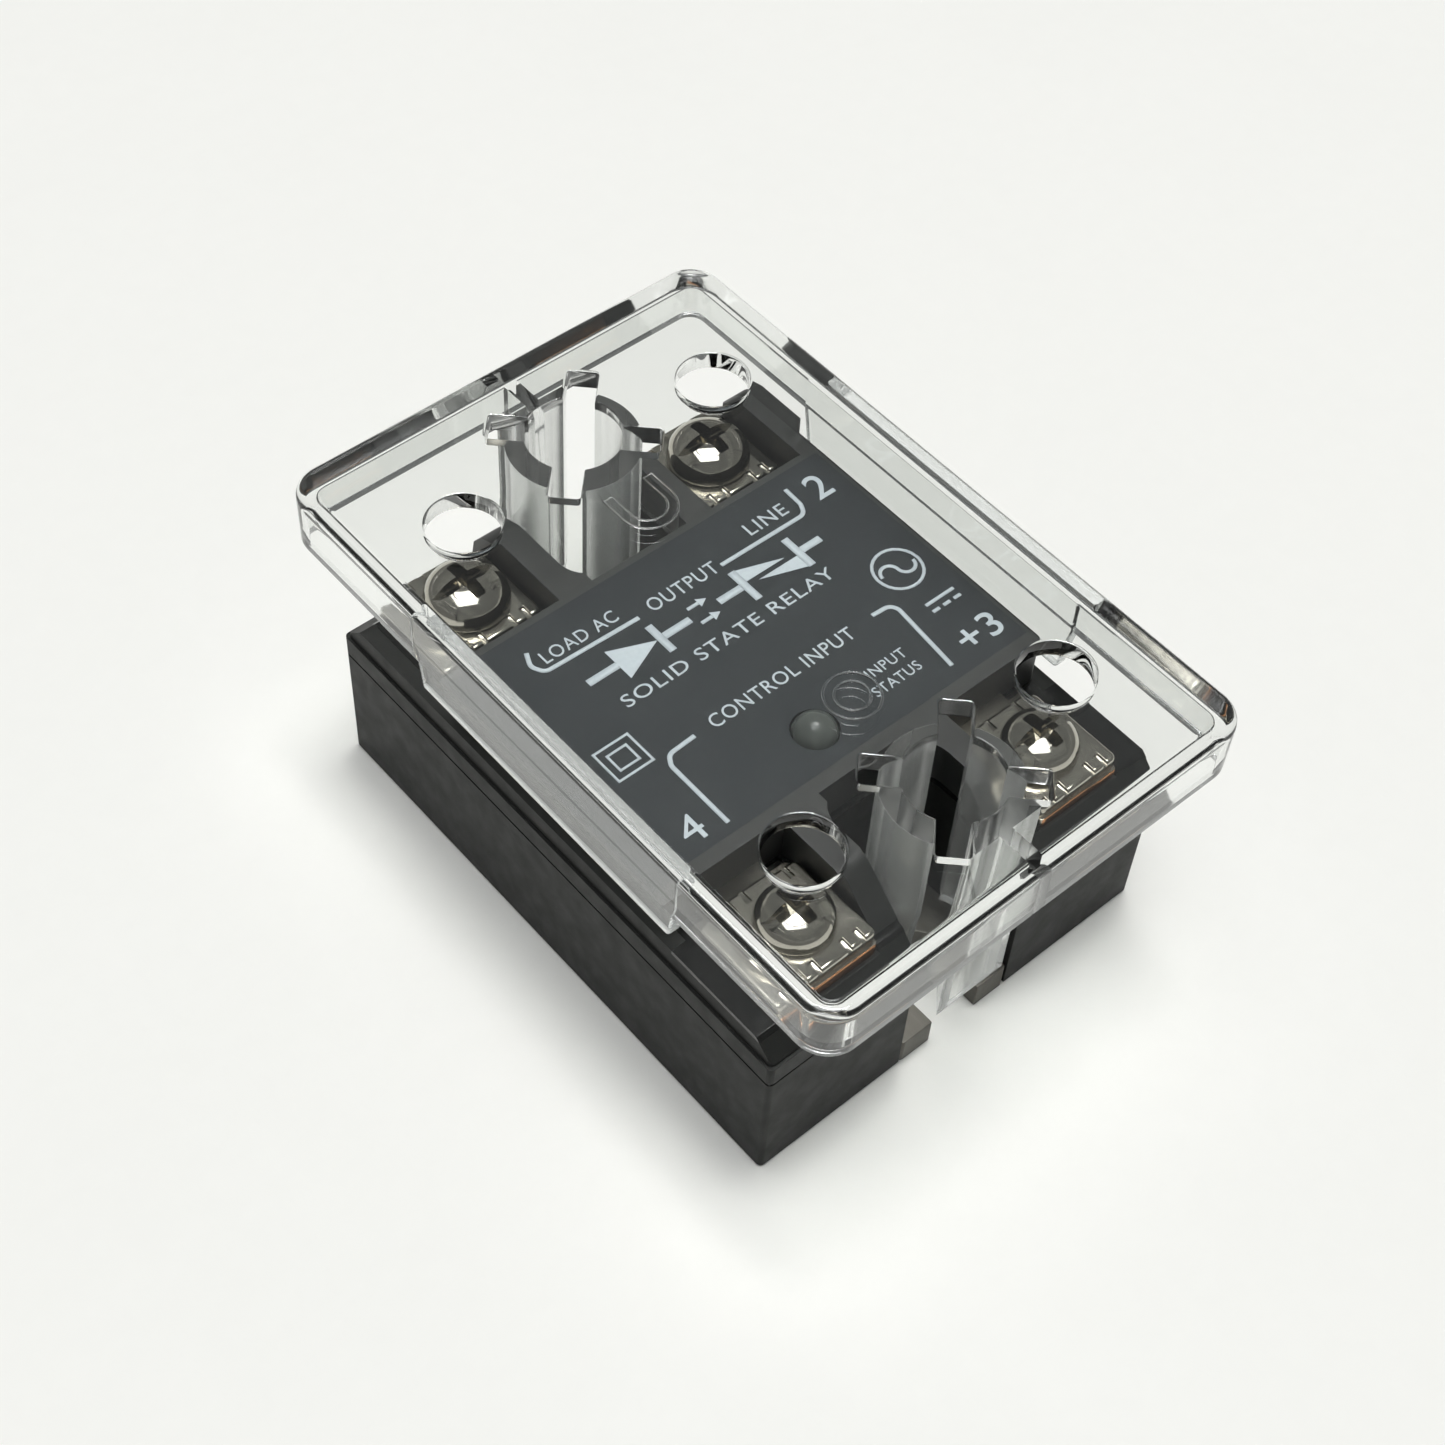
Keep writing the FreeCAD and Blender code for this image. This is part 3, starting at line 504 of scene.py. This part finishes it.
# Nickel plate over copper: warm, soft-edged reflections; the cropped edge is bare copper.
plated_copper = surface("nickel_plated_copper", "#A8A398", "#BFBAB0", 0.9, (0.12, 0.24), 0.02,
                        shader={"Metallic": 1.0})
tree = plated_copper.node_tree
axes = add(tree, "ShaderNodeSeparateXYZ", links={"Vector": tree.nodes["place"].outputs["Object"]})
outward = add(tree, "ShaderNodeMath", {"operation": "ABSOLUTE"}, links={0: axes.outputs["Y"]})
cropped = add(tree, "ShaderNodeMapRange", values={
    "From Min": (TERMINAL_OUTER_EDGE - 0.14) / 1000, "From Max": (TERMINAL_OUTER_EDGE - 0.08) / 1000},
    links={"Value": outward.outputs[0]})
edge_colour = add(tree, "ShaderNodeMix", {"data_type": "RGBA"}, {7: linear("#BC8459")},
                  {"Factor": cropped.outputs["Result"], 6: tree.nodes["colour"].outputs[2]})
tree.links.new(edge_colour.outputs[2], tree.nodes["body"].inputs["Base Color"])

for number in (1, 2, 3, 4):
    plate = eased_copy(f"terminal_{number}", f"terminal_plate_{number}", 0.12, plated_copper)
    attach(plate, "relay_body")
    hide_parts(f"terminal_{number}")


# Wire clamps. Square steel washers, pressed with ridges that bite the wire, and nickel-plated.
# Each is captive under its screw's head and rises with it.

# Bright nickel on steel: warm grey mirror, softened by the pressing.
bright_nickel = surface("bright_nickel_plate", "#B0ACA1", "#C8C4BA", 1.4, (0.08, 0.20), 0.035,
                        shader={"Metallic": 1.0})
for number in (1, 2, 3, 4):
    clamp = eased_copy(f"wire_clamp_{number}", f"pressed_clamp_{number}", 0.1, bright_nickel)
    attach(clamp, f"wire_clamp_{number}")
    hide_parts(f"wire_clamp_{number}")


# Terminal screws. Cold-headed steel pan heads with a slot and a cross, rolled threads, and the
# same bright nickel plate. The output pair is number 8, the input pair number 6.
CLAMP_TOP = 20.1
THREAD_PITCH = 0.794
THREAD_DEPTH = 0.34
THREAD_LENGTH = 7.3
TERMINAL_X = 13.8
TERMINAL_Y = 21.4

# Nickel on a cold-headed crown: nearly a mirror, with only a slow waver.
polished_nickel = surface("nickel_plated_screw_steel", "#B5B1A6", "#CBC7BD", 1.2, (0.05, 0.12), 0.006,
                          shader={"Metallic": 1.0})

shank_tree, shank_sockets, start = shape_tree(
    "threaded_shank", "Head", {"Crest Radius": "Float", "Thread Depth": "Float", "Turns": "Float",
                               "Length": "Float", "Place": "Vector", "Finish": "Material"}, "Screw")
pitch_line = add(shank_tree, "ShaderNodeMath", {"operation": "SUBTRACT"},
                 links={0: start.outputs["Crest Radius"], 1: start.outputs["Thread Depth"]})
helix = add(shank_tree, "GeometryNodeCurveSpiral", values={"Resolution": 28},
            links={"Rotations": start.outputs["Turns"], "Start Radius": pitch_line.outputs[0],
                   "End Radius": pitch_line.outputs[0], "Height": start.outputs["Length"]})
upright = add(shank_tree, "GeometryNodeSetCurveNormal", {"mode": "Z_UP"}, links={"Curve": helix.outputs["Curve"]})
vee = add(shank_tree, "GeometryNodeCurvePrimitiveCircle", values={"Resolution": 4},
          links={"Radius": start.outputs["Thread Depth"]})
thread = add(shank_tree, "GeometryNodeCurveToMesh", values={"Fill Caps": True},
             links={"Curve": upright.outputs["Curve"], "Profile Curve": vee.outputs["Curve"]})
core = add(shank_tree, "GeometryNodeMeshCylinder", values={"Vertices": 48},
           links={"Radius": pitch_line.outputs[0], "Depth": start.outputs["Length"]})
half = add(shank_tree, "ShaderNodeMath", {"operation": "MULTIPLY"}, {1: 0.5}, {0: start.outputs["Length"]})
up = add(shank_tree, "ShaderNodeCombineXYZ", links={"Z": half.outputs[0]})
raised = add(shank_tree, "GeometryNodeTransform", links={"Geometry": core.outputs["Mesh"],
                                                         "Translation": up.outputs[0]})
shank = add(shank_tree, "GeometryNodeJoinGeometry", links={"Geometry": thread.outputs["Mesh"]})
shank_tree.links.new(raised.outputs["Geometry"], shank.inputs["Geometry"])
placed = add(shank_tree, "GeometryNodeTransform", links={"Geometry": shank.outputs["Geometry"],
                                                         "Translation": start.outputs["Place"]})
whole = add(shank_tree, "GeometryNodeJoinGeometry", links={"Geometry": start.outputs["Head"]})
shank_tree.links.new(placed.outputs["Geometry"], whole.inputs["Geometry"])
end_tree(shank_tree, whole.outputs["Geometry"], start.outputs["Finish"], "Screw")


def pan_head(radius, x, y):
    """A domed head on the clamp, with a full-width slot and a deeper tapered cross."""
    crown = 0.74 * radius
    dome_foot = CLAMP_TOP + 0.2
    levels = [(CLAMP_TOP, -0.12), (CLAMP_TOP + 0.1, -0.02), (dome_foot, 0.0)]
    for step in range(1, 25):
        angle = math.radians(90 * step / 25)
        levels.append((dome_foot + (crown - 0.2) * math.sin(angle) ** 0.86,
                       radius * (math.cos(angle) ** 0.82 - 1)))
    head = solid("head", stack(radius, radius, radius, levels, x, y, steps=16))
    top = CLAMP_TOP + crown
    slot = [(top + 0.5, 0.08), (top - 0.25, 0.0), (top - 0.36 * crown, -0.03)]
    cross = [(top + 0.5, 0.15), (top - 0.2, 0.0), (top - 0.72 * crown, -0.32)]
    cuts = [solid("cut", stack(radius + 1, 0.52, 0.05, slot, x, y, steps=2)),
            solid("cut", stack(radius * 0.58, 0.58, 0.25, cross, x, y, steps=3)),
            solid("cut", stack(0.58, radius * 0.58, 0.25, cross, x, y, steps=3))]
    return combine(head, cuts, "DIFFERENCE")


def merged(loose):
    """The merged bmesh of a loose solid, which is then removed."""
    bm = bmesh.new()
    bm.from_mesh(loose.data)
    bmesh.ops.remove_doubles(bm, verts=bm.verts, dist=1e-7)
    bpy.data.objects.remove(loose)
    return bm


for number, side, end, crest, radius in ((1, -1, 1, 2.06, 3.85), (2, 1, 1, 2.06, 3.85),
                                         (3, 1, -1, 1.73, 3.4), (4, -1, -1, 1.73, 3.4)):
    x, y = side * TERMINAL_X, end * TERMINAL_Y
    head = smooth_piece(f"screw_{number}", merged(pan_head(radius, x, y)), polished_nickel)
    screw = solid(f"pan_head_screw_{number}", run_tree(head, shank_tree, shank_sockets, {
        "Crest Radius": crest / 1000, "Thread Depth": THREAD_DEPTH / 1000,
        "Turns": THREAD_LENGTH / THREAD_PITCH, "Length": THREAD_LENGTH / 1000,
        "Place": (x / 1000, y / 1000, (CLAMP_TOP - THREAD_LENGTH - 0.05) / 1000),
        "Finish": polished_nickel}))
    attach(screw, f"terminal_screw_{number}")
    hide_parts(f"terminal_screw_{number}")


# Cover. One clear polycarbonate moulding that clips over the sides. It has driver holes over the
# screws, a slotted tube over each mounting notch, and two raised marks from the tool.
COVER_HALF_X = 23.1
COVER_HALF_Y = 34.6
COVER_TOP = 30.9
COVER_CORNER = 3.2
CEILING = 29.0
RIM_BOTTOM = 25.0
WALL = 1.7
EDGE_RADIUS = 0.75
MOUNT_Y = 23.8
TUBE_INNER = 4.35
TUBE_OUTER = 6.05
TUBE_BOTTOM = 6.6
TUBE_SLOT_HALF_LENGTH = 7.6
TUBE_SLOT_HALF_WIDTH = 1.4
SKIRT_BOTTOM = 20.7
SKIRT_HALF_LENGTH = 17.0
SKIRT_INSIDE = 21.1
SKIRT_OUTSIDE = 22.5
DRIVER_RADIUS = 3.3
MARK_WIDTH = 0.26
MARK_TOP = 31.0

# Injection-moulded polycarbonate: clear and glossy, with a faint waviness from the tool. It is a
# little milky in the thick tubes, duller on the raised marks and frosted along the skirts' feet.
clear_polycarbonate = bpy.data.materials.new("clear_polycarbonate")
clear_polycarbonate.use_nodes = True
tree = clear_polycarbonate.node_tree
tree.nodes.clear()
place = add(tree, "ShaderNodeTexCoord")
waves = add(tree, "ShaderNodeTexNoise", values={"Scale": per_mm(7.0), "Detail": 1.0},
            links={"Vector": place.outputs["Object"]})
handling = add(tree, "ShaderNodeTexNoise", values={"Scale": per_mm(1.6), "Detail": 5.0},
               links={"Vector": place.outputs["Object"]})
haze = add(tree, "ShaderNodeMapRange", values={"From Min": 0.5, "From Max": 0.8, "To Min": 0.0, "To Max": 0.06},
           links={"Value": handling.outputs["Fac"]})
tint = add(tree, "ShaderNodeMix", {"data_type": "RGBA"}, {6: linear("#F7F9F7"), 7: linear("#FBFCFB")},
           {"Factor": handling.outputs["Fac"]})
sway = add(tree, "ShaderNodeBump", values={"Strength": 0.3, "Distance": 0.00002},
           links={"Height": waves.outputs["Fac"]})
axes = add(tree, "ShaderNodeSeparateXYZ", links={"Vector": place.outputs["Object"]})
across = add(tree, "ShaderNodeMath", {"operation": "ABSOLUTE"}, links={0: axes.outputs["X"]})
outward = add(tree, "ShaderNodeMath", {"operation": "ABSOLUTE"}, links={0: axes.outputs["Y"]})

# Near a tube: within its wall below the plate, and within the ends of its slots in the plate.
from_tube = add(tree, "ShaderNodeMath", {"operation": "SUBTRACT"}, {1: MOUNT_Y / 1000}, {0: outward.outputs[0]})
spot = add(tree, "ShaderNodeCombineXYZ", links={"X": axes.outputs["X"], "Y": from_tube.outputs[0]})
from_axis = add(tree, "ShaderNodeVectorMath", {"operation": "LENGTH"}, links={0: spot.outputs[0]})
tube_limit = add(tree, "ShaderNodeMapRange", values={
    "From Min": (CEILING + 0.05) / 1000, "From Max": (CEILING + 0.1) / 1000,
    "To Min": (TUBE_OUTER + 0.05) / 1000, "To Max": (TUBE_SLOT_HALF_LENGTH + 0.2) / 1000},
    links={"Value": axes.outputs["Z"]})
near_tube = add(tree, "ShaderNodeMath", {"operation": "LESS_THAN"},
                links={0: from_axis.outputs["Value"], 1: tube_limit.outputs["Result"]})
below_top = add(tree, "ShaderNodeMath", {"operation": "LESS_THAN"}, {1: (COVER_TOP - 0.08) / 1000},
                {0: axes.outputs["Z"]})
thick = add(tree, "ShaderNodeMath", {"operation": "MULTIPLY"}, links={0: near_tube.outputs[0],
                                                                      1: below_top.outputs[0]})
on_marks = add(tree, "ShaderNodeMath", {"operation": "GREATER_THAN"}, {1: (COVER_TOP + 0.005) / 1000},
               {0: axes.outputs["Z"]})
under_plate = add(tree, "ShaderNodeMath", {"operation": "LESS_THAN"}, {1: (CEILING - 0.2) / 1000},
                  {0: axes.outputs["Z"]})
dullness = haze.outputs["Result"]
for zone, amount in ((on_marks, 0.22), (under_plate, 0.05), (thick, 0.12)):
    duller = add(tree, "ShaderNodeMath", {"operation": "MULTIPLY_ADD"}, {1: amount},
                 {0: zone.outputs[0], 2: dullness})
    dullness = duller.outputs[0]
milky = add(tree, "ShaderNodeMapRange", values={"To Min": 1.0, "To Max": 0.9}, links={"Value": thick.outputs[0]})
at_side = add(tree, "ShaderNodeMath", {"operation": "GREATER_THAN"}, {1: (SKIRT_INSIDE - 0.3) / 1000},
              {0: across.outputs[0]})
at_foot = add(tree, "ShaderNodeMath", {"operation": "LESS_THAN"}, {1: (SKIRT_BOTTOM + 0.42) / 1000},
              {0: axes.outputs["Z"]})
skirt_foot = add(tree, "ShaderNodeMath", {"operation": "MULTIPLY"}, links={0: at_side.outputs[0],
                                                                           1: at_foot.outputs[0]})
clearness = add(tree, "ShaderNodeMath", {"operation": "MULTIPLY_ADD"}, {1: -0.6},
                {0: skirt_foot.outputs[0], 2: milky.outputs["Result"]})
clear = add(tree, "ShaderNodeBsdfPrincipled", values={"IOR": 1.585, "Metallic": 0.0},
            links={"Base Color": tint.outputs[2], "Roughness": dullness,
                   "Transmission Weight": clearness.outputs[0], "Normal": sway.outputs["Normal"]})
# Light that falls through the cover is only dimmed, so that it reaches the relay below.
passed = add(tree, "ShaderNodeBsdfTransparent", values={"Color": linear("#D2D3D2")})
path = add(tree, "ShaderNodeLightPath")
either = add(tree, "ShaderNodeMixShader", links={"Fac": path.outputs["Is Shadow Ray"], 1: clear.outputs["BSDF"],
                                                 2: passed.outputs["BSDF"]})
add(tree, "ShaderNodeOutputMaterial", links={"Surface": either.outputs["Shader"]})

shell_levels = [(COVER_TOP - EDGE_RADIUS * (1 - math.cos(math.radians(a))),
                 -EDGE_RADIUS * (1 - math.sin(math.radians(a)))) for a in range(0, 91, 15)]
shell_levels += [(RIM_BOTTOM + 0.25, 0), (RIM_BOTTOM + 0.07, -0.07), (RIM_BOTTOM, -0.25),
                 (RIM_BOTTOM, 0.2 - WALL), (RIM_BOTTOM + 0.06, 0.06 - WALL), (RIM_BOTTOM + 0.2, -WALL),
                 (CEILING - 0.45, -WALL), (CEILING - 0.13, -WALL - 0.13), (CEILING, -WALL - 0.45)]
shell = solid("shell", stack(COVER_HALF_X, COVER_HALF_Y, COVER_CORNER, shell_levels, steps=14))

joins = []
skirt_foot_half = SKIRT_HALF_LENGTH - 0.9
skirt = [(-skirt_foot_half, SKIRT_BOTTOM), (skirt_foot_half, SKIRT_BOTTOM),
         (SKIRT_HALF_LENGTH, RIM_BOTTOM + 0.5), (SKIRT_HALF_LENGTH, COVER_TOP - 1.2),
         (-SKIRT_HALF_LENGTH, COVER_TOP - 1.2), (-SKIRT_HALF_LENGTH, RIM_BOTTOM + 0.5)]
for side in (-1, 1):
    joins.append(solid("skirt", prism(skirt, side * SKIRT_INSIDE, side * SKIRT_OUTSIDE, 0.32)))

# Each tube is flat on its outer side, where a wide finger and a web to the rim stiffen it.
for end in (-1, 1):
    y = end * MOUNT_Y
    flat = y + end * TUBE_INNER
    post = solid("post", stack(TUBE_OUTER, TUBE_OUTER, TUBE_OUTER, [
        (TUBE_BOTTOM, -0.25), (TUBE_BOTTOM + 0.08, -0.08), (TUBE_BOTTOM + 0.25, 0), (CEILING + 0.5, 0)],
        0, y, steps=24))
    beyond = solid("beyond", prism([(flat, 0), (y + end * 20, 0), (y + end * 20, 40), (flat, 40)], -20, 20, 0))
    joins.append(combine(post, [beyond], "DIFFERENCE"))
    finger = [(flat - end * 0.01, TUBE_BOTTOM), (flat + end * 1.5, TUBE_BOTTOM),
              (flat + end * 1.5, CEILING + 0.5), (flat - end * 0.01, CEILING + 0.5)]
    joins.append(solid("finger", prism(finger, -4.4, 4.4)))
    web = [(flat + end * 1.2, CEILING + 0.5), (end * (COVER_HALF_Y - 0.6), CEILING + 0.5),
           (end * (COVER_HALF_Y - 0.6), RIM_BOTTOM + 0.3), (flat + end * 1.2, 16.0)]
    joins.append(solid("web", prism(web, -0.7, 0.7)))

# The raised marks are two rings and a closed loop, each a thin round-backed ridge.
ridge_tree, ridge_sockets, start = shape_tree(
    "raised_mark", "Path", {"Ridge Width": "Float", "Plastic": "Material"}, "Ridge")
half = add(ridge_tree, "ShaderNodeMath", {"operation": "MULTIPLY"}, {1: 0.5}, {0: start.outputs["Ridge Width"]})
section = add(ridge_tree, "GeometryNodeCurvePrimitiveCircle", values={"Resolution": 12},
              links={"Radius": half.outputs[0]})
upright = add(ridge_tree, "GeometryNodeSetCurveNormal", {"mode": "Z_UP"}, links={"Curve": start.outputs["Path"]})
ridge = add(ridge_tree, "GeometryNodeCurveToMesh", values={"Fill Caps": True},
            links={"Curve": upright.outputs["Curve"], "Profile Curve": section.outputs["Curve"]})
end_tree(ridge_tree, ridge.outputs["Mesh"], start.outputs["Plastic"], "Ridge")
loop = [(-3.1, 15.9)] + arc(-0.45, 13.3, 2.65, 180, 360) + [(2.2, 15.9), (1.3, 15.9)]
loop += arc(-0.45, 13.3, 1.75, 360, 180) + [(-2.2, 15.9)]
for outline in (arc(-0.8, -12.8, 2.4, 0, 355, 71), arc(-0.8, -12.8, 1.5, 0, 355, 71), loop):
    mark = merged(solid("mark", run_tree(
        path_object([outline], MARK_TOP - MARK_WIDTH / 2, True), ridge_tree, ridge_sockets,
        {"Ridge Width": MARK_WIDTH / 1000, "Plastic": clear_polycarbonate})))
    bmesh.ops.recalc_face_normals(mark, faces=mark.faces)
    for face in mark.faces:
        face.material_index = 0
    joins.append(solid("mark", mark))
cover = combine(shell, joins, "UNION")

cuts = []
mouth = [(COVER_TOP + 1.0, 0.25), (COVER_TOP, 0.25), (COVER_TOP - 0.07, 0.07), (COVER_TOP - 0.25, 0)]
bore = mouth + [(1.0, 0)]
hole = mouth + [(CEILING + 0.2, 0), (CEILING + 0.05, 0.06), (CEILING, 0.2), (CEILING - 1.0, 0.2)]
for end in (-1, 1):
    y = end * MOUNT_Y
    cuts.append(solid("bore", stack(TUBE_INNER, TUBE_INNER, TUBE_INNER, bore, 0, y, steps=24)))
    for turn in (45, -45):
        cuts.append(solid("slot", stack(TUBE_SLOT_HALF_LENGTH, TUBE_SLOT_HALF_WIDTH, 0.3, bore, 0, y, turn,
                                        steps=3)))
    for side in (-1, 1):
        cuts.append(solid("driver", stack(DRIVER_RADIUS, DRIVER_RADIUS, DRIVER_RADIUS, hole,
                                          side * TERMINAL_X, end * TERMINAL_Y, steps=24)))
cover = smooth_piece("clear_cover", merged(combine(cover, cuts, "DIFFERENCE")), clear_polycarbonate)
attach(cover, "cover")
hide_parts("cover")


# Studio. A plain pale table top, one ceiling lamp a little behind the relay, soft fill from the
# room, and the camera above the relay's front left corner.
FLOOR_HALF = 3.0
floor_mesh = bpy.data.meshes.new("table_top")
floor_mesh.from_pydata([(-FLOOR_HALF, -FLOOR_HALF, 0), (FLOOR_HALF, -FLOOR_HALF, 0),
                        (FLOOR_HALF, FLOOR_HALF, 0), (-FLOOR_HALF, FLOOR_HALF, 0)], [], [(0, 1, 2, 3)])
floor = solid("table_top", floor_mesh)
# Matt white laminate: nearly even, with a faint cloudiness in its dull surface.
floor_mesh.materials.append(surface("matt_white_laminate", "#F0F0EC", "#F3F3EF", 3.0, (0.6, 0.75)))


def lamp_panel(name, width, depth, power, place, colour):
    """A soft rectangular lamp, in metres and watts, that points at the relay."""
    data = bpy.data.lights.new(name, "AREA")
    data.shape = "RECTANGLE"
    data.size = width
    data.size_y = depth
    data.energy = power
    data.color = colour
    panel = bpy.data.objects.new(name, data)
    panel.location = place
    panel.rotation_euler = (-Vector(place)).to_track_quat("-Z", "Y").to_euler()
    bpy.context.scene.collection.objects.link(panel)


lamp_panel("ceiling_lamp", 0.30, 0.16, 5.8, (0.22, 0.10, 1.35), (1.0, 0.99, 0.97))
lamp_panel("room_fill", 1.7, 1.7, 36.5, (-0.1, 0.05, 2.4), (0.98, 0.99, 1.0))

# The room is a little brighter towards the horizon than overhead.
world = bpy.data.worlds.new("room")
bpy.context.scene.world = world
world.use_nodes = True
tree = world.node_tree
tree.nodes.clear()
around = add(tree, "ShaderNodeTexCoord")
direction = add(tree, "ShaderNodeSeparateXYZ", links={"Vector": around.outputs["Generated"]})
rise = add(tree, "ShaderNodeMapRange", values={"From Min": -0.1, "From Max": 0.9},
           links={"Value": direction.outputs["Z"]})
room = add(tree, "ShaderNodeMix", {"data_type": "RGBA"}, {6: (0.21, 0.21, 0.205, 1), 7: (0.17, 0.174, 0.174, 1)},
           {"Factor": rise.outputs["Result"]})
glow = add(tree, "ShaderNodeBackground", values={"Strength": 1.0}, links={"Color": room.outputs[2]})
add(tree, "ShaderNodeOutputWorld", links={"Surface": glow.outputs["Background"]})
bpy.context.scene.view_settings.view_transform = "Standard"

EYE = Vector((-0.093597, -0.094074, 0.183825))
azimuth, elevation, roll = (math.radians(a) for a in (44.043, 52.048, 4.158))
look = Vector((math.sin(azimuth) * math.cos(elevation), math.cos(azimuth) * math.cos(elevation),
               -math.sin(elevation)))
level = look.cross(Vector((0, 0, 1))).normalized()
above = level.cross(look)
right = level * math.cos(roll) + above * math.sin(roll)
up = above * math.cos(roll) - level * math.sin(roll)
lens = bpy.data.cameras.new("camera")
lens.sensor_width = 36.0
lens.lens = 61.214
camera = bpy.data.objects.new("camera", lens)
camera.matrix_world = Matrix.Translation(EYE) @ Matrix((right, up, -look)).transposed().to_4x4()
bpy.context.scene.collection.objects.link(camera)
bpy.context.scene.camera = camera
